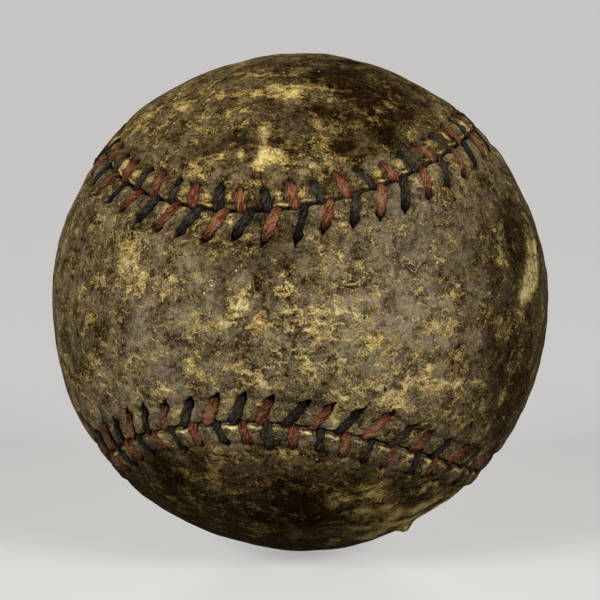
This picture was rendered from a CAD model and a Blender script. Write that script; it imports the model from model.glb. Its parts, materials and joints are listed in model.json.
import json
import math
from functools import cache

import bmesh
import bpy
import numpy as np
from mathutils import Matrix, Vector, geometry


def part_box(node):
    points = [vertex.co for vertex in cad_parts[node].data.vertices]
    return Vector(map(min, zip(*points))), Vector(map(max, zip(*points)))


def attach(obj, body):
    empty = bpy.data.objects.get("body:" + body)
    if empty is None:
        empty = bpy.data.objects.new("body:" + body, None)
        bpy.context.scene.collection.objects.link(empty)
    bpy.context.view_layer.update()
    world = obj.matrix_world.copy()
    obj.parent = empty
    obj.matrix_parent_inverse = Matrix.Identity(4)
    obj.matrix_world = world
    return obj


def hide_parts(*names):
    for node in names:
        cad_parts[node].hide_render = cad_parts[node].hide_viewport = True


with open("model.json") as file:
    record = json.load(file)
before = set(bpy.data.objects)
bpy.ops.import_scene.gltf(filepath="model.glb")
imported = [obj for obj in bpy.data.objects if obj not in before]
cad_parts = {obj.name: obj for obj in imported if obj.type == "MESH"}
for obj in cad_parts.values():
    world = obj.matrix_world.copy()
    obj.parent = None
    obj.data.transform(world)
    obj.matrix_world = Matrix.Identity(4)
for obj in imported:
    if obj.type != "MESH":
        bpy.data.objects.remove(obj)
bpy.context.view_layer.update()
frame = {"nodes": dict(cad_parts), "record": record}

# Sizes are in millimetres until a mesh is made, apart from the studio's, and angles are in degrees.
MM = 0.001


def node_radius(node):
    """Half the height of a round CAD node."""
    low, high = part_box(node)
    return (high.z - low.z) / 2 / MM


BALL = node_radius("back_cover")
UNDERSIDE = node_radius("cement_coat")

# The seam. FRONT and BACK are the two covers, and the side of the seam that each is on.
FRONT = -1
BACK = 1
WAIST_WIDTH = 26.9
SEAM_POINTS = 7201
# Where the seam leaves its even course: turn and half turn in degrees, and how far towards the back cover.
SEAM_WANDER = [(132, 22, -2.0), (186, 32, 0.5)]

# The stitches: holes in facing pairs, sewn a little unevenly by hand.
STITCHES = 108
FIRST_STITCH = 3.0
WAIST_CROWDING = 0.121
STITCH_DRIFT = 0.95
HOLE_FROM_SEAM = {FRONT: 3.65, BACK: 3.2}
LOWER_NARROWING = {FRONT: 0.5, BACK: 0.0}
STITCH_LEAN = {FRONT: 1.7, BACK: 0.6}
HAND_SPREAD = 0.22
LEAST_RUB = 0.3
# Every random draw has a seed of its own, counted on from this one.
SEED = 1926

# Heights on the ball, in shares of its radius, between which the forms and marks of one half fade out.
UPPER_HEIGHTS = (-0.3, 0.3)
NARROWING_HEIGHTS = (0.0, -0.5)
UNDER_HEIGHTS = (-0.42, -0.7)

# The leather beside the seam: a slit with lips, puffs between the stitches, a groove under each thread, a
# crease and a ridge along the holes. A pair is where a form begins and ends, from the seam or the holes.
BAND_WIDTH = 7.6
SLIT_HALF_WIDTH = 0.1
NOTCH_DEPTH = 0.2
NOTCH_LENGTH = 0.45
LIP_DROP = 0.28
LIP_WIDTH = 0.36
SEWN_DIP = 0.18
DIP_PAST_HOLES = (-0.3, 1.4)
SEWN_PAST_HOLES = (-1.6, 0.7)
PUFF_HEIGHT = {FRONT: 0.1, BACK: 0.22}
PUFF_AT_SLIT = 0.45
PUFF_RISE = (0.1, 1.2)
PUFF_PAST_HOLES = (-1.0, 0.1)
PUFF_SPREAD = 0.3
PUFF_WAVE = 5.0
GROOVE_DEPTH = {FRONT: 0.24, BACK: 0.3}
GROOVE_WIDTH = 0.55
GROOVE_PAST_HOLES = (-0.1, 0.5)
CREASE_DEPTH = {FRONT: 0.08, BACK: 0.2}
CREASE_WIDTH = 0.4
RIDGE_HEIGHT = {FRONT: 0.05, BACK: 0.1}
RIDGE_PAST_HOLES = (-0.1, 0.9)
RIDGE_END = 7.4
FOLD_MEAN = 0.85
FOLD_SPREAD = 0.35
FOLD_WAVE = 16.0
FOLD_LIMITS = (0.3, 1.3)
LOWER_FOLD = {FRONT: 1.0, BACK: 0.3}
HOLE_DEPTH = 1.0
HOLE_WIDTH = 0.5
HOLE_START = (-0.9, -0.5)
HOLE_TAIL = {FRONT: 1.25, BACK: 0.5}
HOLE_TIP = 0.02
ROW_EVENING = 2.0
FAR_ALONG = 9.0

# The ball's own unevenness: heights, wavelengths and numbers of waves.
LUMP_HEIGHT = 0.08
LUMP_WAVE = 20.0
DENT_SHARE = 0.6
DENT_WAVE = 8.0
LUMP_WAVES = 14
RIPPLE_HEIGHT = 0.025
RIPPLE_WAVE = 3.2
RIPPLE_WAVES = 20
WOBBLE_SPREAD = (0.6, 1.4)
WOBBLE_WAVES = 9
LEAST_LEATHER = 0.2

# How fine the covers' meshes are: the rows beside the seam reach so far from it, in steps of so much.
COLUMNS_PER_STITCH = 16
COLUMN_CROWDING = 0.45
ROW_STEPS = [(0.6, 0.12), (2.5, 0.25), (4.6, 0.15), (BAND_WIDTH, 0.36)]
PANEL_SPACING = 0.68
RING_PAST_BAND = 0.35
PANEL_PAST_BAND = 0.75
UNDERSIDE_SPACING = 2.2
UNDERSIDE_PAST_BAND = 1.5
UNDERSIDE_ROW = 3.0
WALL_BULGE = 0.05
TRIANGLE_HEIGHT = 0.866
SEARCH_POINTS = 1600
SEARCH_BLOCKS = 12
INSIDE_ONLY = 1
MERGE_GAP = 1e-7

# The threads: twisted plies, flattened where they lie on the leather.
THREAD_WIDTH = 1.3
THREAD_FLATNESS = 0.58
THREAD_SIDES = 18
PLIES = 3
PLY_RELIEF = 0.06
TWIST_LENGTH = 11.0
GIRTH_SPREAD = 0.06
FRAY = 0.09
FRAY_WAVE = 0.8
FRAY_WAVES = 24
SINK_SPREAD = 0.08
SAMPLES_PER_GUIDE = 4
LEAST_STEP = 1e-6
# A thread's guide points at each stitch: share of the way from hole to slit, height, girth and dirt.
ARM_GUIDES = [
    (0.0, -1.5, 0.6, 1.0),
    (0.0, -0.7, 0.65, 1.0),
    (0.1, -0.24, 0.9, 0.35),
    (0.36, -0.06, 1.1, 0.0),
    (0.66, -0.06, 1.1, 0.0),
    (0.93, -0.22, 1.08, 0.1),
    (1.0, -0.8, 0.8, 0.6),
    (1.0, -1.6, 0.6, 1.0),
]
# Its guide point under the other cover.
TUCK_UNDER = 1.35
TUCK_HEIGHT = -1.8
TUCK_GIRTH = 0.6
TUCK_DIRT = 1.0
# Heights over the leather between which it goes from dirty to clean, and from plain to rubbed.
CLEAN_HEIGHTS = (-0.6, -0.15)
RUB_HEIGHTS = (-0.15, 0.15)
DIRT_OVER_RUB = 3

# The camera, in the photograph's frame of 600 by 600 pixels. Its distance is in radii of the ball.
VIEW_AZIMUTH = 11.39
VIEW_ELEVATION = 3.03
VIEW_DISTANCE = 5.0
FRAME_PIXELS = 600
BALL_PIXELS = 248
BALL_CENTRE_PIXEL = (299.5, 301.5)
SENSOR = 36.0

# Marks that the camera sees: longitude from the front cover's waist, latitude, half width and half height
# in millimetres, and strength. Where the leather is worn, its dark surface has come off in tan flecks.
WEAR_PATCHES = [
    (2.5, 32, 1.2, 1.3, 0.66), (2.4, 36.5, 0.9, 1.5, 0.42), (3.6, 39.5, 0.8, 1.0, 0.4),
    (-2.2, 33.3, 0.8, 0.8, 0.4), (-7, 32, 0.7, 0.7, 0.4), (5.5, 31.8, 0.8, 0.5, 0.42),
    (6.5, 33.5, 0.5, 0.7, 0.42), (8, 37, 1.1, 0.9, 0.26), (2, 29.2, 1.1, 0.6, 0.3),
    (11, 52, 5.6, 1.6, 0.48), (-20, -17, 11.0, 3.0, 0.16), (-43, 46, 5.0, 5.0, 0.2),
    (-24, 51, 5.0, 4.0, 0.14), (-11, 49, 4.0, 3.2, 0.12), (15, 35, 4.4, 2.5, 0.2),
    (26, 44, 5.0, 1.0, 0.14), (36, 46, 0.8, 0.9, 0.3), (45, 42, 2.2, 2.4, 0.1),
    (-12, 31, 6.0, 1.4, 0.14), (66, 48, 3.0, 3.0, 0.1), (-23, 8, 2.9, 3.4, 0.26),
    (-31, 15, 3.0, 1.8, 0.08), (28, -3, 9.0, 6.0, 0.15), (24, -17, 4.0, 3.0, 0.16),
    (4, 1, 5.6, 2.6, 0.13), (-1, -1, 4.0, 2.4, 0.14), (0, 15, 4.5, 2.0, 0.1),
    (-10, -11, 1.0, 1.0, 0.34), (-16, -6, 1.3, 0.8, 0.22), (3, -11, 2.8, 1.0, 0.22),
    (2, -13, 1.5, 0.8, 0.24), (13, -8, 1.5, 1.3, 0.2), (-16, -15, 1.3, 0.9, 0.2),
    (29, 9, 1.0, 0.7, 0.34), (44, 15, 0.8, 1.2, 0.3), (43, 5, 0.8, 0.9, 0.26),
    (20, -2, 5.0, 1.8, 0.1), (36, -14, 8.0, 1.9, 0.2), (51, -14, 4.8, 0.9, 0.34),
    (32, -16, 2.0, 1.3, 0.26), (77, 16, 1.5, 1.8, 0.36), (76, 13, 2.0, 2.2, 0.52),
    (74, 9, 2.2, 1.8, 0.5), (69, 6, 1.9, 1.8, 0.48), (66, 3, 1.7, 1.5, 0.46),
    (66, 0, 1.2, 1.5, 0.28), (59, 9, 1.2, 2.0, 0.3), (59, -2, 1.6, 2.0, 0.26),
    (64, -12, 1.8, 2.0, 0.22), (-37, -12, 4.0, 5.0, 0.08), (55, 21, 4.0, 3.0, 0.1),
    (17, 9, 3.2, 2.3, 0.05), (40, -3, 3.6, 1.3, 0.1), (63, -17, 5.0, 4.0, 0.08),
    (30, -43, 6.0, 2.6, 0.2), (-6, -52, 4.6, 2.4, 0.18), (-10, -35, 3.6, 3.0, 0.14),
    (28, -40, 2.4, 1.4, 0.34), (20, -40, 0.9, 0.7, 0.3), (-11, -33, 0.8, 0.8, 0.3),
    (-4, -39, 0.8, 0.6, 0.34), (56, -44, 8.0, 5.0, 0.14), (-22, -44, 5.0, 3.0, 0.1),
    (25, -61, 7.0, 2.0, 0.14), (55, -55, 8.0, 4.5, 0.5), (52, -33, 4.0, 3.0, 0.14),
]
# Where it is stained, it is nearly black, and where the strength is negative, a stain is weaker.
STAIN_PATCHES = [
    (39, 51, 9.0, 6.5, 1.05), (29, 37, 5.0, 1.8, 0.3), (6, 36, 1.6, 1.2, 0.7),
    (-4, 37, 2.4, 1.2, 0.5), (-9, 34, 2.4, 1.6, 0.4), (30, 66, 12.0, 4.5, 0.75),
    (2, 16, 8.5, 3.0, 0.5), (8, 38, 6.0, 4.0, 0.35), (-2, 10, 7.0, 4.0, 0.32),
    (-33, -8, 8.0, 3.5, 0.4), (66, -20, 7.0, 7.0, 0.55), (6, 8, 5.0, 3.0, 0.25),
    (-22, -19, 12.0, 3.0, -0.4), (55, -57, 10.0, 6.0, -0.95), (-20, -33, 11.0, 3.0, 0.5),
    (-38, 15, 5.0, 4.0, 0.16), (-10, 42, 11.0, 6.0, 0.35), (-22, -40, 6.0, 4.0, 0.15),
    (-8, -38, 4.5, 3.0, -0.35), (28, -40, 3.0, 1.8, -0.4), (58, -3, 5.0, 6.0, 0.3),
    (-50, 2, 8.0, 20.0, 0.25), (66, 18, 5.0, 5.0, 0.4), (38, 14, 9.0, 4.0, 0.42),
    (19, 57, 3.5, 3.0, 0.4), (28, 42, 4.0, 3.0, 0.35), (47, 34, 4.0, 3.0, 0.3),
    (49, 25, 5.0, 2.5, 0.25), (15, -16, 4.0, 2.0, 0.35), (-24, -27, 12.0, 2.5, 0.25),
    (31, 45, 6.0, 3.5, 0.4), (5, -18, 5.0, 3.0, 0.4), (12, -42, 5.2, 3.4, 0.9),
    (12, -49, 5.0, 2.4, 0.4), (18, -31, 6.0, 2.0, 0.35),
]
# Where it is polished by handling, it is grey and smooth.
POLISH_PATCHES = [
    (31, 2, 8.0, 6.5, 1.0), (36, 15, 6.5, 4.0, 0.5), (-12, -1, 6.5, 5.0, 0.5),
    (-22, -8, 5.0, 4.0, 0.4), (18, -7, 8.0, 3.0, 0.35), (-22, -19, 10.0, 3.0, 0.6),
    (12, -18, 8.0, 2.5, 0.35),
]
# Where a flake of leather is torn up, with its height in millimetres for its strength.
TORN_FLAKES = [(71, -61, 1.0, 0.6, 0.95)]
PLAIN_POLISH = {FRONT: 0.25, BACK: 0.02}
PLAIN_WEAR = {FRONT: 0.39, BACK: 0.38}
PATCH_STRENGTH = 1.05
PATCH_RAGGEDNESS = 0.45
RAGGED_WAVE = 5.0

# The ball is dark with dirt underneath, and at its right, within these cosines of a longitude.
UNDER_STAIN = 0.75
FAR_STAIN = 0.6
FAR_LONGITUDE = 82
FAR_COSINES = (0.74, 0.94)

# Where the camera can't see, marks are made up of waves: their strengths and wavelengths.
UNSEEN_COSINES = (-0.2, 0.2)
MARK_WAVES = 16
MADE_UP_WEAR = 0.14
WEAR_WAVE = 15.0
MADE_UP_STAIN = 0.45
STAIN_WAVE = 17.0
STAIN_CRESTS = (0.2, 2.0)
MADE_UP_POLISH = 0.3
POLISH_WAVE = 19.0

# The sewn edge is darker, apart from a rubbed spot on each puff and the rim of the slit.
SEWN_DARKNESS = {FRONT: 0.03, BACK: 0.14}
SEWN_STAIN = {FRONT: 0.03, BACK: 0.3}
LOWER_STAIN = {FRONT: 0.0, BACK: 0.1}
LOWER_POLISH = {FRONT: 0.0, BACK: 0.4}
SPOT_WEAR = {FRONT: 0.12, BACK: 0.75}
LOWER_SPOT = 0.25
SPOT_FROM_SEAM = 1.7
SPOT_WIDTH = 0.85
RIM_WEAR = {FRONT: 0.15, BACK: 0.8}
LOWER_RIM = 0.6
RIM_FROM_EDGE = 0.34
RIM_WIDTH = 0.15
# How black the holes, the lips of the slit, the grooves and the creases are, and the hidden leather.
HOLE_GRIME = 1.2
LIP_GRIME_START = 0.6
GROOVE_GRIME = 0.4
CREASE_GRIME = 0.9
HIDDEN_GRIME = 0.7

# Shares of the seam's two waves, which keep every point of it on a sphere.
WAIST_SHARE = math.sin(WAIST_WIDTH / 2 / BALL)
BROAD_WAVE = (1 + WAIST_SHARE) / 2
SHORT_WAVE = (1 - WAIST_SHARE) / 2
DEPTH_WAVE = 2 * math.sqrt(BROAD_WAVE * SHORT_WAVE)


def unit(vectors):
    """Vectors of the same directions, of length 1."""
    return vectors / np.linalg.norm(vectors, axis=-1, keepdims=True)


def bell(x):
    """A smooth hump: 1 at 0, and nearly 0 from 2 on."""
    return np.exp(-(x**2))


def rise(low, high, x):
    """A smooth rise from 0 at low to 1 at high."""
    t = np.clip((x - low) / (high - low), 0, 1)
    return t * t * (3 - 2 * t)


def wandering_seam(t):
    """Unit directions to the seam as it was sewn."""
    x = BROAD_WAVE * np.sin(t) + SHORT_WAVE * np.sin(3 * t)
    y = -DEPTH_WAVE * np.cos(2 * t)
    z = BROAD_WAVE * np.cos(t) - SHORT_WAVE * np.cos(3 * t)
    even = np.stack([x, y, z], axis=-1)
    across = unit(np.cross(even, np.gradient(even, axis=0)))
    shift = np.zeros_like(t)
    for turn, half_turn, sideways in SEAM_WANDER:
        shift += sideways / BALL * bell((t - math.radians(turn)) / math.radians(half_turn))
    return unit(even + across * shift[:, None])


def lengths_along(line):
    """How far each point of a line is from its start, along it."""
    return np.concatenate([[0], np.cumsum(np.linalg.norm(np.diff(line, axis=0), axis=1))])


SEAM_OUTWARD = wandering_seam(np.linspace(-math.pi / 2, 3 * math.pi / 2, SEAM_POINTS))
SEAM_ALONG = unit(np.gradient(SEAM_OUTWARD, axis=0))
SEAM_RUN = lengths_along(SEAM_OUTWARD * BALL)
SEAM_LENGTH = SEAM_RUN[-1]


def seam_frame(run):
    """The outward and across directions of the seam at a length from its start."""
    place = np.mod(run, SEAM_LENGTH)
    outward = unit(np.stack([np.interp(place, SEAM_RUN, values) for values in SEAM_OUTWARD.T], axis=-1))
    along = unit(np.stack([np.interp(place, SEAM_RUN, values) for values in SEAM_ALONG.T], axis=-1))
    return outward, np.cross(outward, along)


def beside_seam(run, sideways):
    """Unit directions to points beside the seam, measured over the leather."""
    outward, across = seam_frame(run)
    turn = (np.asarray(sideways) / BALL)[..., None]
    return outward * np.cos(turn) + across * np.sin(turn)


def stitch_run(number):
    """Where a stitch lies along the seam: they crowd at the waists and drift a little."""
    even = FIRST_STITCH + np.asarray(number, float) * SEAM_LENGTH / STITCHES
    wave = 8 * math.pi / SEAM_LENGTH
    crowded = even - WAIST_CROWDING / wave * np.sin(wave * (even - SEAM_LENGTH / 4))
    drift = 0.5 - 0.5 * np.cos(math.tau * (even / SEAM_LENGTH - 0.25))
    return crowded + STITCH_DRIFT * drift


def along_gap(run, place):
    """The shortest signed way along the seam from a place to a run."""
    return np.mod(run - place + SEAM_LENGTH / 2, SEAM_LENGTH) - SEAM_LENGTH / 2


def upper_share(directions):
    """1 on the upper half of the ball and 0 on the lower half."""
    return rise(*UPPER_HEIGHTS, directions[..., 2])


def up_from(share, x):
    """Goes from a share to 1 while x goes from 0 to 1."""
    return share + (1 - share) * x


def wave_field(points, wavelength, count, seed):
    """A smooth random field of about unit height, made of plane waves."""
    draws = np.random.default_rng(seed)
    ways = unit(draws.normal(size=(count, 3))) * (math.tau / wavelength)
    phases = draws.uniform(0, math.tau, count)
    return np.cos(points @ ways.T + phases).sum(axis=-1) / math.sqrt(count / 2)


def seam_wobble(run, wavelength, seed):
    """A smooth random wobble along the seam, of about unit height."""
    draws = np.random.default_rng(seed)
    turns = np.round(SEAM_LENGTH / wavelength * draws.uniform(*WOBBLE_SPREAD, WOBBLE_WAVES))
    phases = draws.uniform(0, math.tau, WOBBLE_WAVES)
    angle = math.tau * np.asarray(run)[..., None] / SEAM_LENGTH
    return np.cos(angle * turns + phases).sum(axis=-1) / math.sqrt(WOBBLE_WAVES / 2)


class StitchRow:
    """The holes of one cover, and where each thread over it goes down the slit."""

    def __init__(self, side):
        draws = np.random.default_rng(SEED + side)
        even_run = stitch_run(np.arange(STITCHES))
        self.hole_run = even_run + draws.normal(0, HAND_SPREAD, STITCHES)
        lower = rise(*NARROWING_HEIGHTS, seam_frame(self.hole_run)[0][:, 2])
        even_side = HOLE_FROM_SEAM[side] - LOWER_NARROWING[side] * lower
        self.hole_side = even_side + draws.normal(0, HAND_SPREAD, STITCHES)
        self.dive_run = even_run + STITCH_LEAN[side] + draws.normal(0, HAND_SPREAD / 2, STITCHES)
        self.puff_rub = draws.uniform(LEAST_RUB, 1, STITCHES)


ROWS = {side: StitchRow(side) for side in (FRONT, BACK)}


def slit_edge(column, run):
    """Half the width of the slit, which is notched where a thread goes down."""
    notch = 0.0
    for row in ROWS.values():
        for step in (-1, 0, 1):
            number = (np.floor(column).astype(int) + step) % STITCHES
            notch += bell(along_gap(run, row.dive_run[number]) / NOTCH_LENGTH)
    return SLIT_HALF_WIDTH + NOTCH_DEPTH * np.clip(notch, 0, 1)


class StitchGaps:
    """How places on one cover lie to its stitches and holes."""

    def __init__(self, side, column, run, off):
        row = ROWS[side]
        self.behind = FAR_ALONG
        self.ahead = FAR_ALONG
        self.nearest = FAR_ALONG
        self.number = 0
        self.hole = 0.0
        side_sum = 0.0
        weight = 0.0
        for step in (-2, -1, 0, 1, 2):
            number = (np.floor(column).astype(int) + step) % STITCHES
            hole_side = row.hole_side[number]
            lean = along_gap(row.hole_run[number], row.dive_run[number])
            length = np.hypot(hole_side, lean)
            gap = along_gap(run, row.dive_run[number] + lean * np.clip(off / hole_side, 0, 1))
            self.number = np.where((gap >= 0) & (gap < self.behind), number, self.number)
            self.behind = np.where(gap >= 0, np.minimum(self.behind, gap), self.behind)
            self.ahead = np.where(gap < 0, np.minimum(self.ahead, -gap), self.ahead)
            self.nearest = np.minimum(self.nearest, np.abs(gap) * hole_side / length)
            hole_gap = along_gap(run, row.hole_run[number])
            past = off - hole_side
            tail = (hole_gap * lean + past * hole_side) / length
            wide = (hole_gap * hole_side - past * lean) / length
            width = HOLE_WIDTH * np.clip(1 - tail / HOLE_TAIL[side], HOLE_TIP, 1)
            lens = np.exp(-((wide / width) ** 4)) * rise(*HOLE_START, tail)
            self.hole = np.maximum(self.hole, lens)
            share = bell(hole_gap / ROW_EVENING)
            side_sum += share * hole_side
            weight += share
        self.hole_side = side_sum / weight


def seam_relief(side, column, run, off, edge):
    """The leather beside the seam: its height, hollows and rubbed spots, and how far it is sewn down."""
    gaps = StitchGaps(side, column, run, off)

    def past_holes(limits):
        begin, end = limits
        return rise(gaps.hole_side + begin, gaps.hole_side + end, off)

    fold_share = up_from(LOWER_FOLD[side], upper_share(seam_frame(run)[0]))
    fold = FOLD_MEAN + FOLD_SPREAD * seam_wobble(run, FOLD_WAVE, SEED + 3 * side)
    fold = np.clip(fold, *FOLD_LIMITS) * fold_share
    swell = np.sin(math.pi * gaps.behind / (gaps.behind + gaps.ahead))
    puff = swell**0.5 * up_from(PUFF_AT_SLIT, rise(*PUFF_RISE, off))
    puff = puff * (1 - past_holes(PUFF_PAST_HOLES))
    uneven = 1 + PUFF_SPREAD * seam_wobble(run, PUFF_WAVE, SEED + 7 * side)
    groove = bell(gaps.nearest / GROOVE_WIDTH) * (1 - past_holes(GROOVE_PAST_HOLES))
    crease = bell((off - gaps.hole_side) / CREASE_WIDTH) * fold
    ridge_fall = rise(gaps.hole_side + RIDGE_PAST_HOLES[1], RIDGE_END, off)
    ridge = past_holes(RIDGE_PAST_HOLES) * (1 - ridge_fall) * fold
    lip = 1 - rise(0, LIP_WIDTH, off - edge)

    height = PUFF_HEIGHT[side] * puff * uneven - GROOVE_DEPTH[side] * groove - CREASE_DEPTH[side] * crease
    height = height + RIDGE_HEIGHT[side] * ridge - HOLE_DEPTH * gaps.hole - LIP_DROP * lip
    height = height - SEWN_DIP * fold_share * (1 - past_holes(DIP_PAST_HOLES))
    grime = rise(LIP_GRIME_START, 1, lip) + GROOVE_GRIME * groove
    grime = grime + CREASE_GRIME * crease * CREASE_DEPTH[side]
    rub = ROWS[side].puff_rub[gaps.number]
    spot = rub * swell**3 * bell((off - SPOT_FROM_SEAM) / SPOT_WIDTH)
    rim = rub * swell * bell((off - edge - RIM_FROM_EDGE) / RIM_WIDTH)
    return {
        "height": height,
        "hollow": np.clip(HOLE_GRIME * gaps.hole + grime, 0, 1),
        "spot": SPOT_WEAR[side] * spot,
        "rim": RIM_WEAR[side] * rim,
        "sewn": 1 - past_holes(SEWN_PAST_HOLES),
    }


def lumps(directions):
    """The unevenness of the old leather: dents, lumps and shallow ripples."""
    points = directions * BALL
    broad = wave_field(points, LUMP_WAVE, LUMP_WAVES, SEED + 21)
    broad = broad + DENT_SHARE * wave_field(points, DENT_WAVE, LUMP_WAVES, SEED + 22)
    fine = RIPPLE_HEIGHT * wave_field(points, RIPPLE_WAVE, RIPPLE_WAVES, SEED + 23)
    return LUMP_HEIGHT * broad + fine + patch_sum(directions, TORN_FLAKES)


def ball_direction(longitude, latitude):
    """The direction of a place on the ball, counted from the front cover's waist."""
    lon = math.radians(longitude)
    lat = math.radians(latitude)
    return np.array([math.sin(lon) * math.cos(lat), -math.cos(lon) * math.cos(lat), math.sin(lat)])


def patch_sum(directions, patches):
    """How strongly soft patches with ragged edges mark each direction."""
    points = directions * BALL
    ragged = [wave_field(points, RAGGED_WAVE, MARK_WAVES, SEED + 70 + k) for k in range(2)]
    amount = 0.0
    for longitude, latitude, half_width, half_height, strength in patches:
        centre = ball_direction(longitude, latitude)
        east = ball_direction(longitude + 90, 0)
        north = np.cross(centre, east)
        bend = PATCH_RAGGEDNESS * min(half_width, half_height)
        across = (points @ east + bend * ragged[0]) / half_width
        up = (points @ north + bend * ragged[1]) / half_height
        amount += np.where(directions @ centre > 0, strength * np.exp(-(across**2 + up**2)), 0)
    return amount


def unseen(directions):
    """1 on the side of the ball that the camera can't see."""
    return 1 - rise(*UNSEEN_COSINES, directions @ ball_direction(VIEW_AZIMUTH, VIEW_ELEVATION))


def wear(directions, side):
    """How far the dark surface of a cover is worn off."""
    made_up = MADE_UP_WEAR * wave_field(directions * BALL, WEAR_WAVE, MARK_WAVES, SEED + 31)
    seen = PLAIN_WEAR[side] + PATCH_STRENGTH * patch_sum(directions, WEAR_PATCHES)
    return seen + unseen(directions) * made_up


def stain(directions):
    """How dark the leather is with dirt."""
    under = rise(*UNDER_HEIGHTS, directions[..., 2])
    far = rise(*FAR_COSINES, directions @ ball_direction(FAR_LONGITUDE, 0))
    made_up = rise(*STAIN_CRESTS, wave_field(directions * BALL, STAIN_WAVE, MARK_WAVES, SEED + 33))
    seen = UNDER_STAIN * under + FAR_STAIN * far + patch_sum(directions, STAIN_PATCHES)
    return np.clip(seen + unseen(directions) * MADE_UP_STAIN * made_up, 0, 1)


def polish(directions, side):
    """How grey and smooth handling has made the leather."""
    made_up = MADE_UP_POLISH * wave_field(directions * BALL, POLISH_WAVE, MARK_WAVES, SEED + 35)
    seen = PLAIN_POLISH[side] + patch_sum(directions, POLISH_PATCHES)
    return np.clip(seen + unseen(directions) * made_up, 0, 1)


def inside_panel(spacing, side, least):
    """Evenly spread directions on one cover, at least so far from the seam."""
    count = int(4 * math.pi * BALL**2 / (spacing**2 * TRIANGLE_HEIGHT))
    number = np.arange(count) + 0.5
    z = 1 - 2 * number / count
    angle = number * math.pi * (3 - math.sqrt(5))
    ring = np.sqrt(1 - z * z)
    directions = np.stack([ring * np.cos(angle), ring * np.sin(angle), z], axis=-1)
    outward, across = seam_frame(np.linspace(0, SEAM_LENGTH, SEARCH_POINTS, endpoint=False))
    chosen = []
    for block in np.array_split(directions, SEARCH_BLOCKS):
        near = np.argmax(block @ outward.T, axis=1)
        cosine = np.clip((block * outward[near]).sum(axis=1), -1, 1)
        towards = (block * across[near]).sum(axis=1) * side
        chosen.append((towards > 0) & (np.arccos(cosine) * BALL > least))
    return directions[np.concatenate(chosen)]


def panel_faces(side, ring, inner, ring_start, inner_start):
    """Triangles that fill a cover inside a ring, through the inner directions."""
    every = np.concatenate([ring, inner])
    flat = [Vector(point) for point in every[:, [0, 2]] / (1 + side * every[:, [1]])]
    edges = [(k, (k + 1) % len(ring)) for k in range(len(ring))]
    _, _, triangles, origins, _, _ = geometry.delaunay_2d_cdt(flat, edges, [], INSIDE_ONLY, MERGE_GAP)
    source = [numbers[0] for numbers in origins]
    place = [v + ring_start if v < len(ring) else v - len(ring) + inner_start for v in source]
    return [[place[v] for v in face] for face in triangles]


def strip_faces(first, second, columns):
    """Quads between two closed rows of vertices, from the first number of each."""
    pairs = [(k, (k + 1) % columns) for k in range(columns)]
    return [(first + k, first + after, second + after, second + k) for k, after in pairs]


def row_offsets():
    """How far each row is from the slit, as shares of the band's width."""
    offsets = [0.0]
    for reach, step in ROW_STEPS:
        count = round((reach - offsets[-1]) / step)
        offsets += list(np.linspace(offsets[-1], reach, count + 1)[1:])
    return np.array(offsets) / BAND_WIDTH


def hidden_rows(side, run, edge):
    """Rows of points down the slit's wall and along the underside of the sewn edge."""
    offs_and_radii = [
        (edge + WALL_BULGE, (BALL + UNDERSIDE) / 2),
        (edge, UNDERSIDE),
        (UNDERSIDE_ROW, UNDERSIDE),
        (BAND_WIDTH, UNDERSIDE),
    ]
    return [beside_seam(run, side * off) * radius for off, radius in offs_and_radii]


def cover_marks(side, band, panel, relief):
    """What a cover's materials read, for its sewn edge, its face and all that is hidden."""
    upper = upper_share(band)
    sewn = relief["sewn"]
    edge_wear = wear(band, side) + relief["spot"] * up_from(LOWER_SPOT, upper)
    edge_wear = edge_wear + relief["rim"] * up_from(LOWER_RIM, upper) - SEWN_DARKNESS[side] * upper * sewn
    edge_stain = stain(band) + (SEWN_STAIN[side] * upper + LOWER_STAIN[side] * (1 - upper)) * sewn
    edge_polish = polish(band, side) + LOWER_POLISH[side] * (1 - upper) * sewn
    return {
        "wear": (edge_wear, wear(panel, side), 0.0),
        "hollow": (relief["hollow"], np.zeros(len(panel)), HIDDEN_GRIME),
        "stain": (np.clip(edge_stain, 0, 1), stain(panel), 0.0),
        "polish": (np.clip(edge_polish, 0, 1), polish(panel, side), 0.0),
    }


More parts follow.
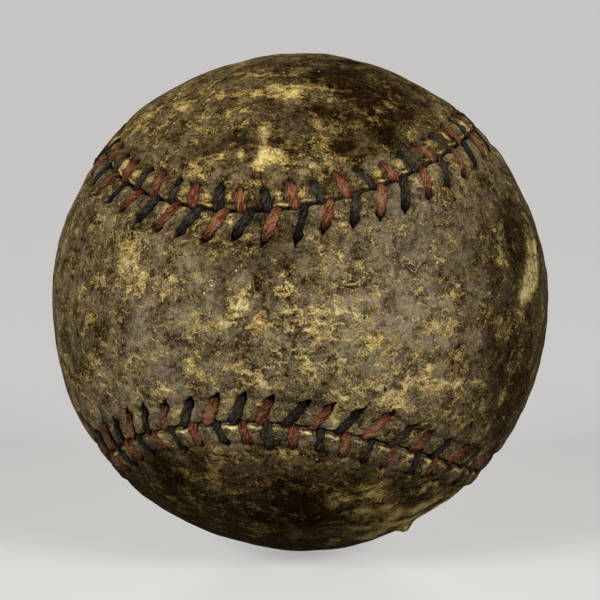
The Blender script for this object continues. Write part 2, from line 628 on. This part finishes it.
def cover_piece(name, side):
    """One leather cover: a closed mesh of its sewn edge, face and raw underside."""
    even = np.arange(STITCHES * COLUMNS_PER_STITCH) / COLUMNS_PER_STITCH
    column = even - COLUMN_CROWDING * np.sin(math.tau * even) / math.tau
    run = stitch_run(column)
    edge = slit_edge(column, run)
    off = edge + (BAND_WIDTH - edge) * row_offsets()[:, None]
    rows, columns = off.shape
    band = beside_seam(run, side * off)
    relief = seam_relief(side, column, run, off, edge)

    half_ring = beside_seam(run[::2], side * (BAND_WIDTH + RING_PAST_BAND))
    panel = np.concatenate([half_ring, inside_panel(PANEL_SPACING, side, BAND_WIDTH + PANEL_PAST_BAND)])
    under = inside_panel(UNDERSIDE_SPACING, side, BAND_WIDTH + UNDERSIDE_PAST_BAND)
    walls = hidden_rows(side, run, edge)
    radius = np.maximum(BALL + lumps(band) + relief["height"], UNDERSIDE + LEAST_LEATHER)
    outer_band = band * radius[..., None]
    outer_panel = panel * (BALL + lumps(panel))[:, None]
    vertices = np.concatenate([outer_band.reshape(-1, 3), outer_panel, *walls, under * UNDERSIDE])

    panel_start = rows * columns
    wall_start = panel_start + len(panel)
    under_start = wall_start + len(walls) * columns
    faces = []
    for k in range(rows - 1):
        faces += strip_faces(k * columns, (k + 1) * columns, columns)
    faces += panel_faces(side, band[-1], panel, panel_start - columns, panel_start)
    outer_faces = len(faces)
    faces += strip_faces(wall_start, 0, columns)
    for k in range(len(walls) - 1):
        faces += strip_faces(wall_start + (k + 1) * columns, wall_start + k * columns, columns)
    faces += panel_faces(side, band[-1], under, under_start - columns, under_start)

    piece = mesh_piece(name, vertices, faces)
    hidden = len(vertices) - wall_start
    for mark, (edge_values, panel_values, hidden_value) in cover_marks(side, band, panel, relief).items():
        values = [edge_values.ravel(), panel_values, np.full(hidden, hidden_value)]
        add_values(piece, mark, np.concatenate(values))
    piece.data.materials.append(worn_leather())
    piece.data.materials.append(raw_leather())
    slots = np.zeros(len(faces), np.int32)
    slots[outer_faces:] = 1
    piece.data.polygons.foreach_set("material_index", slots)
    face_outwards(piece)
    return piece


def mesh_piece(name, vertices, faces):
    """A smooth-shaded mesh object from points in millimetres."""
    mesh = bpy.data.meshes.new(name)
    mesh.from_pydata((vertices * MM).tolist(), [], faces)
    mesh.polygons.foreach_set("use_smooth", np.ones(len(mesh.polygons), bool))
    mesh.update()
    piece = bpy.data.objects.new(name, mesh)
    bpy.context.scene.collection.objects.link(piece)
    return piece


def face_outwards(piece):
    """Turns all the faces of a closed mesh outwards."""
    made = bmesh.new()
    made.from_mesh(piece.data)
    bmesh.ops.recalc_face_normals(made, faces=made.faces)
    made.to_mesh(piece.data)
    made.free()


def add_values(piece, name, values):
    """Gives each vertex a number or a vector that the material reads."""
    kind, field = ("FLOAT", "value") if values.ndim == 1 else ("FLOAT_VECTOR", "vector")
    attribute = piece.data.attributes.new(name, kind, "POINT")
    attribute.data.foreach_set(field, values.astype(np.float32).ravel())


def thread_guides(first_side):
    """Guide points of one thread, with its girth and dirt, and the stitch number of each."""
    draws = np.random.default_rng(SEED + 40 + first_side)
    guides = []
    numbers = []
    for number in range(STITCHES):
        side = first_side if number % 2 == 0 else -first_side
        row = ROWS[side]
        hole_run = row.hole_run[number]
        dive_run = hole_run + along_gap(row.dive_run[number], hole_run)
        sunk = abs(draws.normal(0, SINK_SPREAD))
        for share, height, girth, dirt in ARM_GUIDES:
            run = hole_run + (dive_run - hole_run) * share
            off = row.hole_side[number] * (1 - share)
            guides.append([*(beside_seam(run, side * off) * (BALL + height - sunk)), girth, dirt])
        tuck = beside_seam(dive_run, -side * TUCK_UNDER) * (BALL + TUCK_HEIGHT)
        guides.append([*tuck, TUCK_GIRTH, TUCK_DIRT])
        numbers += [number] * (len(ARM_GUIDES) + 1)
    return np.array(guides), np.array(numbers)


def smooth_line(guides, samples):
    """Points on the uniform cubic spline that the guides steer, and each point's guide number."""
    padded = np.concatenate([guides[:1], guides[:1], guides, guides[-1:], guides[-1:]])
    share = (np.arange(samples) / samples)[:, None]
    weights = np.concatenate([
        (1 - share) ** 3,
        3 * share**3 - 6 * share**2 + 4,
        -3 * share**3 + 3 * share**2 + 3 * share + 1,
        share**3,
    ], axis=1) / 6
    spans = len(padded) - 3
    blocks = [weights @ padded[k:k + 4] for k in range(spans)]
    number = np.repeat(np.clip(np.arange(spans) - 1, 0, len(guides) - 1), samples)
    return np.concatenate(blocks), number


def thread_rings(line, around, reach):
    """Rings round a line, flattened where it lies on the leather."""
    travel = unit(np.gradient(line, axis=0))
    sides = [unit(np.cross(travel[0], line[0]))]
    for way in travel[1:]:
        turned = sides[-1] - way * np.dot(sides[-1], way)
        sides.append(unit(turned))
    sides = np.array(sides)
    ups = np.cross(travel, sides)
    rings = sides[:, None] * np.cos(around)[None, :, None] + ups[:, None] * np.sin(around)[None, :, None]
    rings = rings * reach[..., None]
    outward = unit(line)
    level = 1 - np.abs((travel * outward).sum(axis=1))
    lift = (rings * outward[:, None]).sum(axis=-1)
    return rings - outward[:, None] * (THREAD_FLATNESS * level[:, None] * lift)[..., None]


def thread_piece(name, first_side, material):
    """One whole thread: twisted plies, over and under the covers."""
    draws = np.random.default_rng(SEED + 50 + first_side)
    guides, stitch_of_guide = thread_guides(first_side)
    points, guide = smooth_line(guides, SAMPLES_PER_GUIDE)
    steps = np.linalg.norm(np.diff(points[:, :3], axis=0), axis=1)
    keep = np.concatenate([[True], steps > LEAST_STEP])
    line = points[keep, :3]
    stitch = stitch_of_guide[guide[keep]]
    length = lengths_along(line)
    around = np.arange(THREAD_SIDES) * math.tau / THREAD_SIDES
    turn = around[None, :] - (math.tau * length / TWIST_LENGTH)[:, None]

    stitch_girth = 1 + GIRTH_SPREAD * draws.normal(size=STITCHES)
    girth = points[keep, 3] * THREAD_WIDTH / 2 * stitch_girth[stitch]
    lobes = 1 + PLY_RELIEF * np.cos(PLIES * turn)
    rings = thread_rings(line, around, girth[:, None] * lobes / (1 + PLY_RELIEF))
    fray = FRAY * wave_field(line[:, None] + rings, FRAY_WAVE, FRAY_WAVES, SEED + 60 + first_side)
    vertices = (line[:, None] + rings * (1 + fray[..., None])).reshape(-1, 3)

    last = (len(line) - 1) * THREAD_SIDES
    faces = []
    for first in range(0, last, THREAD_SIDES):
        faces += strip_faces(first, first + THREAD_SIDES, THREAD_SIDES)
    faces.append(list(range(THREAD_SIDES))[::-1])
    faces.append(list(range(last, last + THREAD_SIDES)))
    piece = mesh_piece(name, vertices, faces)

    straight = np.stack([np.cos(turn), np.sin(turn), np.broadcast_to(length[:, None], turn.shape)], axis=-1)
    add_values(piece, "thread_space", straight.reshape(-1, 3))
    fade = draws.uniform(0, 1, STITCHES)[stitch]
    add_values(piece, "fade", np.repeat(fade, THREAD_SIDES))
    high = np.linalg.norm(vertices, axis=1) - BALL
    dirt = np.repeat(points[keep, 4], THREAD_SIDES)
    add_values(piece, "hollow", np.maximum(dirt, 1 - rise(*CLEAN_HEIGHTS, high)))
    add_values(piece, "rub", np.clip(1 - DIRT_OVER_RUB * dirt, 0, 1) * rise(*RUB_HEIGHTS, high))
    piece.data.materials.append(material)
    face_outwards(piece)
    return piece


# Colours of the leather: its dark surface, brown or polished grey, and the tan under it.
BROWN_STOPS = [(0.05, (0.014, 0.008, 0.002)), (0.5, (0.105, 0.072, 0.028)), (0.95, (0.25, 0.19, 0.09))]
GREY_STOPS = [(0.05, (0.052, 0.037, 0.016)), (0.5, (0.195, 0.156, 0.098)), (0.95, (0.35, 0.293, 0.195))]
FLECK_STOPS = [
    (0.5, (0.17, 0.12, 0.04)),
    (0.64, (0.32, 0.24, 0.085)),
    (0.78, (0.5, 0.4, 0.17)),
    (0.92, (0.76, 0.635, 0.3)),
    (1.0, (0.88, 0.79, 0.47)),
]
STAIN_SHADE = (0.105, 0.075, 0.036, 1.0)
WARM_TINT = (1.0, 0.85, 0.5, 1.0)
PALE_SPECK = (0.75, 0.645, 0.4, 1.0)
HOLE_DARK = (0.006, 0.005, 0.004, 1.0)
MIDDLE_TONE = 0.5
# How well dirt holds on the dark surface, and how far the flecks are free of it.
DIRT_HOLD = 1.25
FLECK_CLEANING = 0.6
# What the relief of the leather is made of.
GRAIN_RELIEF = 0.6
PORE_RELIEF = 0.4
WORN_RELIEF = 0.5

# Colours of the threads, dark, plain and rubbed, and how much paler fading and rubbing make them.
RED_THREAD = [(0.04, 0.008, 0.004), (0.14, 0.035, 0.015), (0.315, 0.158, 0.084)]
BLACK_THREAD = [(0.004, 0.0034, 0.0025), (0.012, 0.0102, 0.0076), (0.074, 0.06, 0.04)]
THREAD_FADE = 0.3
THREAD_RUB = 0.35

# Finishes of the pieces inside: colours, scale of the speckle, roughness and depth of the relief.
CORE_LOOKS = {
    "cork": (
        [(0.1, (0.16, 0.08, 0.035)), (0.45, (0.42, 0.25, 0.12)), (0.9, (0.6, 0.42, 0.24))],
        1.1, 0.85, 0.3,
    ),
    "black_rubber": (
        [(0.1, (0.012, 0.012, 0.013)), (0.6, (0.03, 0.03, 0.032)), (1.0, (0.07, 0.068, 0.065))],
        1.6, 0.6, 0.06,
    ),
    "red_rubber": (
        [(0.1, (0.22, 0.03, 0.022)), (0.6, (0.4, 0.07, 0.05)), (1.0, (0.55, 0.16, 0.12))],
        1.6, 0.65, 0.06,
    ),
    "grey_wool": (
        [(0.1, (0.16, 0.15, 0.14)), (0.5, (0.36, 0.34, 0.31)), (1.0, (0.6, 0.57, 0.52))],
        1.3, 0.95, 0.5,
    ),
    "white_wool": (
        [(0.1, (0.45, 0.41, 0.34)), (0.5, (0.7, 0.66, 0.57)), (1.0, (0.85, 0.82, 0.74))],
        1.3, 0.95, 0.5,
    ),
    "white_cotton": (
        [(0.1, (0.5, 0.45, 0.36)), (0.5, (0.74, 0.69, 0.58)), (1.0, (0.88, 0.84, 0.75))],
        2.0, 0.95, 0.35,
    ),
    "cement": (
        [(0.1, (0.3, 0.2, 0.08)), (0.6, (0.5, 0.37, 0.18)), (1.0, (0.62, 0.5, 0.3))],
        0.9, 0.45, 0.1,
    ),
}

# Numbers of a mix node's colour sockets, which share their names with other sockets.
MIX_FIRST = 6
MIX_SECOND = 7
MIX_RESULT = 2


class Nodes:
    """Adds nodes to a node tree and joins them."""

    def __init__(self, tree):
        self.tree = tree

    def feed(self, socket, value):
        """Joins a socket to an output, or sets it to a plain value."""
        if isinstance(value, bpy.types.NodeSocket):
            self.tree.links.new(value, socket)
        else:
            socket.default_value = value

    def add(self, kind, inputs=None, **settings):
        """A new node, with its inputs fed by name or number."""
        made = self.tree.nodes.new(kind)
        for name, value in settings.items():
            setattr(made, name, value)
        for socket, value in (inputs or {}).items():
            self.feed(made.inputs[socket], value)
        return made

    def math(self, operation, first, second):
        return self.add("ShaderNodeMath", {0: first, 1: second}, operation=operation).outputs[0]

    def times(self, first, second):
        return self.math("MULTIPLY", first, second)

    def minus(self, first, second):
        return self.math("SUBTRACT", first, second)

    def total(self, first, *others):
        for value in others:
            first = self.math("ADD", first, value)
        return first

    def spread(self, value, amount, centre=0.5):
        """How far a value is from its centre, times an amount."""
        return self.times(self.minus(value, centre), amount)

    def noise(self, position, scale, detail, roughness=0.5, distortion=0.0):
        sockets = {"Vector": position, "Scale": scale, "Detail": detail, "Roughness": roughness}
        sockets["Distortion"] = distortion
        return self.add("ShaderNodeTexNoise", sockets).outputs["Fac"]

    def ramp(self, value, stops):
        """A colour ramp with a list of places and colours."""
        made = self.add("ShaderNodeValToRGB", {"Fac": value})
        elements = made.color_ramp.elements
        while len(elements) < len(stops):
            elements.new(0.5)
        for element, (place, colour) in zip(elements, stops):
            element.position = place
            element.color = (*colour, 1.0)
        return made.outputs["Color"]

    def mix(self, share, first, second, blend="MIX"):
        sockets = {"Factor": share, MIX_FIRST: first, MIX_SECOND: second}
        return self.add("ShaderNodeMix", sockets, data_type="RGBA", blend_type=blend).outputs[MIX_RESULT]

    def map_range(self, value, low, high, start=0.0, end=1.0):
        """Goes from start to end while a value goes from low to high."""
        sockets = {"Value": value, "From Min": low, "From Max": high, "To Min": start, "To Max": end}
        return self.add("ShaderNodeMapRange", sockets).outputs[0]

    def attribute(self, name, output="Fac"):
        return self.add("ShaderNodeAttribute", attribute_name=name).outputs[output]

    def millimetres(self):
        """Places on the object, in millimetres."""
        place = self.add("ShaderNodeTexCoord").outputs["Object"]
        return self.add("ShaderNodeVectorMath", {0: place, "Scale": 1 / MM}, operation="SCALE").outputs[0]

    def stretched(self, position, scale):
        return self.add("ShaderNodeVectorMath", {0: position, 1: scale}, operation="MULTIPLY").outputs[0]

    def seen_rays(self):
        """1 for rays that show the background: the camera's, and those off or through a piece."""
        path = self.add("ShaderNodeLightPath").outputs
        shiny = self.math("MAXIMUM", path["Is Glossy Ray"], path["Is Transmission Ray"])
        return self.math("MAXIMUM", path["Is Camera Ray"], shiny)

    def bump(self, height, depth, strength=1.0):
        """A normal from a height, where a height of 1 is so many millimetres."""
        sockets = {"Height": height, "Distance": depth * MM, "Strength": strength}
        return self.add("ShaderNodeBump", sockets).outputs[0]


def new_material(name):
    """A new material, its nodes and its shader."""
    material = bpy.data.materials.new(name)
    material.use_nodes = True
    nodes = Nodes(material.node_tree)
    shader = material.node_tree.nodes["Principled BSDF"]
    return material, nodes, shader


def join(nodes, shader, **sockets):
    """Joins or sets a shader's sockets, with underscores for spaces."""
    for name, value in sockets.items():
        nodes.feed(shader.inputs[name.replace("_", " ")], value)


@cache
def scuff_group():
    """Speckled wear: its depth at each place, and its grain, mottle and clouds."""
    tree = bpy.data.node_groups.new("Scuff", "ShaderNodeTree")
    tree.interface.new_socket("Position", in_out="INPUT", socket_type="NodeSocketVector")
    for name in ("Wear", "Fleck Scale"):
        tree.interface.new_socket(name, in_out="INPUT", socket_type="NodeSocketFloat")
    for name in ("Depth", "Grain", "Mottle", "Cloud"):
        tree.interface.new_socket(name, in_out="OUTPUT", socket_type="NodeSocketFloat")
    nodes = Nodes(tree)
    given = nodes.add("NodeGroupInput").outputs
    position = given["Position"]
    grain = nodes.noise(position, scale=given["Fleck Scale"], detail=2.0, roughness=0.6)
    mottle = nodes.noise(position, scale=1.3, detail=5.0, roughness=0.7)
    streaked = nodes.stretched(position, (0.7, 0.7, 1.0))
    vein = nodes.noise(streaked, scale=1.0, detail=6.0, roughness=0.72, distortion=0.7)
    cluster = nodes.noise(position, scale=0.3, detail=3.0, roughness=0.55)
    cloud = nodes.noise(position, scale=0.4, detail=4.0, roughness=0.62, distortion=0.4)
    depth = nodes.total(given["Wear"], nodes.spread(grain, amount=0.75), nodes.spread(vein, amount=2.0))
    depth = nodes.total(depth, nodes.spread(cluster, amount=0.8))
    nodes.add("NodeGroupOutput", {"Depth": depth, "Grain": grain, "Mottle": mottle, "Cloud": cloud})
    return tree


def scuff(nodes, position, wear, fleck_scale):
    """Speckled wear in a material."""
    sockets = {"Position": position, "Wear": wear, "Fleck Scale": fleck_scale}
    return nodes.add("ShaderNodeGroup", sockets, node_tree=scuff_group()).outputs


def handled_colour(nodes, worn, smooth):
    """The dark surface of the leather: brown, and grey where it is polished."""
    grain = nodes.spread(worn["Grain"], amount=1.7)
    mottle = nodes.spread(worn["Mottle"], amount=2.2)
    cloud = nodes.spread(worn["Cloud"], amount=1.7)
    tone = nodes.total(grain, mottle, cloud, MIDDLE_TONE)
    return nodes.mix(smooth, nodes.ramp(tone, BROWN_STOPS), nodes.ramp(tone, GREY_STOPS))


def bare_colour(nodes, position, worn, smooth):
    """The tan leather under the dark surface, warmer where it isn't polished."""
    glint = nodes.map_range(nodes.noise(position, scale=5.0, detail=1.0), low=0.56, high=0.68, end=0.75)
    tan = nodes.mix(glint, nodes.ramp(worn["Depth"], FLECK_STOPS), PALE_SPECK)
    blotch = nodes.noise(position, scale=0.8, detail=2.0, roughness=0.6)
    rough = nodes.map_range(smooth, low=0.0, high=0.4, start=0.7, end=0.0)
    warm = nodes.math("MAXIMUM", nodes.map_range(blotch, low=0.48, high=0.68), rough)
    return nodes.mix(warm, tan, WARM_TINT, "MULTIPLY")


def speckled(nodes, position, colour):
    """A colour with fine dark and pale specks on it."""
    speck = nodes.add("ShaderNodeTexVoronoi", {"Vector": position, "Scale": 0.33}).outputs
    pale = nodes.math("GREATER_THAN", speck["Color"], 0.55)
    near = nodes.map_range(speck["Distance"], low=0.03, high=0.055, start=1.0, end=0.0)
    return nodes.mix(near, colour, nodes.mix(pale, HOLE_DARK, PALE_SPECK))


@cache
def worn_leather():
    """Dark, handled leather, worn through to tan in flecks and patches."""
    material, nodes, shader = new_material("worn_leather")
    position = nodes.millimetres()
    worn = scuff(nodes, position, wear=nodes.attribute("wear"), fleck_scale=4.5)
    cloud = nodes.spread(worn["Cloud"], amount=1.6)
    smooth = nodes.total(nodes.attribute("polish"), cloud)
    fleck = nodes.map_range(worn["Depth"], low=0.5, high=0.6)
    dark = handled_colour(nodes, worn, smooth)
    colour = nodes.mix(fleck, dark, bare_colour(nodes, position, worn, smooth))
    dirt = nodes.total(nodes.minus(DIRT_HOLD, nodes.times(worn["Depth"], FLECK_CLEANING)), cloud)
    dirt = nodes.times(dirt, nodes.attribute("stain"))
    colour = nodes.mix(dirt, colour, STAIN_SHADE, "MULTIPLY")
    colour = speckled(nodes, position, colour)
    colour = nodes.mix(nodes.attribute("hollow"), colour, HOLE_DARK)
    pores = nodes.noise(position, scale=4.6, detail=2.0, roughness=0.6)
    height = nodes.total(nodes.times(worn["Grain"], GRAIN_RELIEF), nodes.times(pores, PORE_RELIEF))
    height = nodes.minus(height, nodes.times(worn["Depth"], WORN_RELIEF))
    roughness = nodes.map_range(nodes.minus(smooth, fleck), low=0.0, high=1.0, start=0.9, end=0.4)
    join(nodes, shader, Base_Color=colour, Roughness=roughness, Specular_IOR_Level=0.01)
    join(nodes, shader, Normal=nodes.bump(height, depth=0.22, strength=0.8))
    return material


@cache
def raw_leather():
    """Cut edges and underside of the covers: raw, yellow-tan leather."""
    material, nodes, shader = new_material("raw_leather")
    worn = scuff(nodes, nodes.millimetres(), wear=0.62, fleck_scale=3.0)
    grime = nodes.times(nodes.attribute("hollow"), 0.6)
    colour = nodes.mix(grime, nodes.ramp(worn["Depth"], FLECK_STOPS), HOLE_DARK)
    join(nodes, shader, Base_Color=colour, Roughness=0.9, Normal=nodes.bump(worn["Grain"], depth=0.15))
    return material


def thread_material(name, dark, plain, rubbed):
    """Waxed thread: fibres along each ply, rubbed pale on top and dirty in the holes."""
    material, nodes, shader = new_material(name)
    along = nodes.stretched(nodes.attribute("thread_space", "Vector"), (2.4, 2.4, 0.8))
    fibre = nodes.noise(along, scale=1.5, detail=3.0, roughness=0.6)
    fluff = nodes.noise(nodes.millimetres(), scale=3.0, detail=3.0, roughness=0.65)
    fade = nodes.times(nodes.math("POWER", nodes.attribute("fade"), 2.0), THREAD_FADE)
    rub = nodes.times(nodes.attribute("rub"), THREAD_RUB)
    light = nodes.total(nodes.spread(fibre, amount=3.0, centre=0.42), nodes.spread(fluff, amount=1.6))
    light = nodes.total(light, nodes.total(fade, rub))
    colour = nodes.ramp(light, [(0.0, dark), (0.45, plain), (1.0, rubbed)])
    colour = nodes.mix(nodes.attribute("hollow"), colour, HOLE_DARK)
    join(nodes, shader, Base_Color=colour, Roughness=0.85, Specular_IOR_Level=0.06)
    join(nodes, shader, Normal=nodes.bump(nodes.total(fibre, fluff), depth=0.2, strength=0.9))
    return material


def core_material(name, stops, scale, roughness, depth):
    """A speckled material for the pieces inside the ball."""
    material, nodes, shader = new_material(name)
    worn = scuff(nodes, nodes.millimetres(), wear=0.5, fleck_scale=scale)
    join(nodes, shader, Base_Color=nodes.ramp(worn["Depth"], stops), Roughness=roughness)
    join(nodes, shader, Normal=nodes.bump(worn["Grain"], depth))
    return material


def dress_core():
    """Gives the pieces inside the ball their own finishes."""
    made = {slot: core_material(slot, *look) for slot, look in CORE_LOOKS.items()}
    for part in frame["record"]["subparts"]:
        if part["material_slot"] in made:
            materials = frame["nodes"][part["node"]].data.materials
            materials.clear()
            materials.append(made[part["material_slot"]])


# The studio, in metres: a round floor that curves up far away, and lamps.
FLOOR_RADIUS = 1.6
FLOOR_RISE = 1.5
FLOOR_RINGS = 32
FLOOR_SIDES = 96
# How far the floor is under the ball, and where its colour fades from near to far, in millimetres.
FLOOR_GAP = 0.6
FLOOR_FADE = (60.0, 260.0)
FLOOR_NEAR = (0.5, 0.495, 0.485, 1.0)
FLOOR_FAR = (0.06, 0.059, 0.058, 1.0)
FLOOR_BOUNCE = (0.08, 0.08, 0.08, 1.0)
FLOOR_GLOW = (0.84, 0.83, 0.81, 1.0)
FLOOR_GLOW_NEAR = 0.45
FLOOR_GLOW_FAR = 0.66
# Each softbox: its name, its turn from the camera, and its power.
SOFTBOXES = [("left_softbox", -44, 2.82), ("right_softbox", 44, 2.72)]


def floor_material():
    """A pale floor that throws little light back on the ball."""
    material, nodes, shader = new_material("studio_floor")
    seen = nodes.seen_rays()
    reach = nodes.add("ShaderNodeVectorMath", {0: nodes.millimetres()}, operation="LENGTH").outputs["Value"]
    far = nodes.map_range(reach, *FLOOR_FADE)
    colour = nodes.mix(seen, FLOOR_BOUNCE, nodes.mix(far, FLOOR_NEAR, FLOOR_FAR))
    glow = nodes.map_range(far, low=0.0, high=1.0, start=FLOOR_GLOW_NEAR, end=FLOOR_GLOW_FAR)
    join(nodes, shader, Base_Color=colour, Roughness=0.9, Specular_IOR_Level=0.1)
    join(nodes, shader, Emission_Color=FLOOR_GLOW, Emission_Strength=nodes.times(seen, glow))
    return material


def studio_floor():
    """A pale round floor that curves up far from the ball."""
    angles = np.arange(FLOOR_SIDES) * math.tau / FLOOR_SIDES
    rings = []
    for k in range(1, FLOOR_RINGS + 1):
        radius = FLOOR_RADIUS * k / FLOOR_RINGS
        height = np.full(FLOOR_SIDES, FLOOR_RISE * (k / FLOOR_RINGS) ** 4)
        rings.append(np.stack([radius * np.cos(angles), radius * np.sin(angles), height], axis=-1))
    vertices = np.concatenate([[[0, 0, 0]], *rings]) / MM
    vertices[:, 2] -= BALL + FLOOR_GAP
    faces = [(0, 1 + k, 1 + (k + 1) % FLOOR_SIDES) for k in range(FLOOR_SIDES)]
    for k in range(FLOOR_RINGS - 1):
        faces += strip_faces(1 + (k + 1) * FLOOR_SIDES, 1 + k * FLOOR_SIDES, FLOOR_SIDES)
    floor = mesh_piece("studio_floor", vertices, faces)
    floor.data.materials.append(floor_material())


def stand_facing(data, azimuth, elevation, distance):
    """Puts a lamp or camera in the scene, facing the ball."""
    stand = bpy.data.objects.new(data.name, data)
    direction = Vector(ball_direction(azimuth, elevation))
    stand.location = direction * distance
    stand.rotation_euler = direction.to_track_quat("Z", "Y").to_euler()
    bpy.context.scene.collection.objects.link(stand)
    return stand


def softbox(name, turn, power):
    """A soft round lamp, turned so far from the camera."""
    lamp = bpy.data.lights.new(name, "AREA")
    lamp.shape = "DISK"
    lamp.size = 0.24
    lamp.energy = power
    lamp.color = (1.0, 0.98, 0.95)
    stand_facing(lamp, VIEW_AZIMUTH + turn, elevation=22, distance=0.62)


def back_spot():
    """A narrow lamp straight behind the ball, for the side that the camera can't see."""
    lamp = bpy.data.lights.new("back_spot", "SPOT")
    lamp.energy = 9.0
    lamp.spot_size = math.radians(11)
    lamp.spot_blend = 0.3
    lamp.shadow_soft_size = 0.05
    stand_facing(lamp, VIEW_AZIMUTH + 180, elevation=6, distance=0.55)


def studio_world():
    """A pale background that lights the ball only a little."""
    world = bpy.data.worlds.new("studio")
    world.use_nodes = True
    nodes = Nodes(world.node_tree)
    strength = nodes.map_range(nodes.seen_rays(), low=0.0, high=1.0, start=0.05, end=0.9)
    join(nodes, world.node_tree.nodes["Background"], Color=(1.0, 0.98, 0.95, 1.0), Strength=strength)
    bpy.context.scene.world = world


def studio_camera():
    """A camera that frames the ball as the photograph does."""
    data = bpy.data.cameras.new("camera")
    focal_pixels = BALL_PIXELS * math.sqrt(VIEW_DISTANCE**2 - 1)
    data.sensor_width = SENSOR
    data.lens = focal_pixels / FRAME_PIXELS * SENSOR
    data.shift_x = (FRAME_PIXELS / 2 - BALL_CENTRE_PIXEL[0]) / FRAME_PIXELS
    data.shift_y = (BALL_CENTRE_PIXEL[1] - FRAME_PIXELS / 2) / FRAME_PIXELS
    data.clip_start = 0.01
    camera = stand_facing(data, VIEW_AZIMUTH, VIEW_ELEVATION, VIEW_DISTANCE * BALL * MM)
    bpy.context.scene.camera = camera


def place(piece, node, slot):
    """Lets a piece stand for a CAD node."""
    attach(piece, "root")
    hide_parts(node)


def build():
    """Sets up the studio and the pieces inside, and makes the covers and threads."""
    bpy.context.scene.view_settings.view_transform = "Standard"
    studio_camera()
    studio_world()
    studio_floor()
    for name, turn, power in SOFTBOXES:
        softbox(name, turn, power)
    back_spot()
    dress_core()
    place(cover_piece("front_cover_leather", FRONT), "front_cover", "worn_leather")
    place(cover_piece("back_cover_leather", BACK), "back_cover", "worn_leather")
    red = thread_material("red_waxed_thread", *RED_THREAD)
    black = thread_material("black_waxed_thread", *BLACK_THREAD)
    place(thread_piece("red_stitching", BACK, red), "red_thread", "red_thread")
    place(thread_piece("black_stitching", FRONT, black), "black_thread", "black_thread")


build()
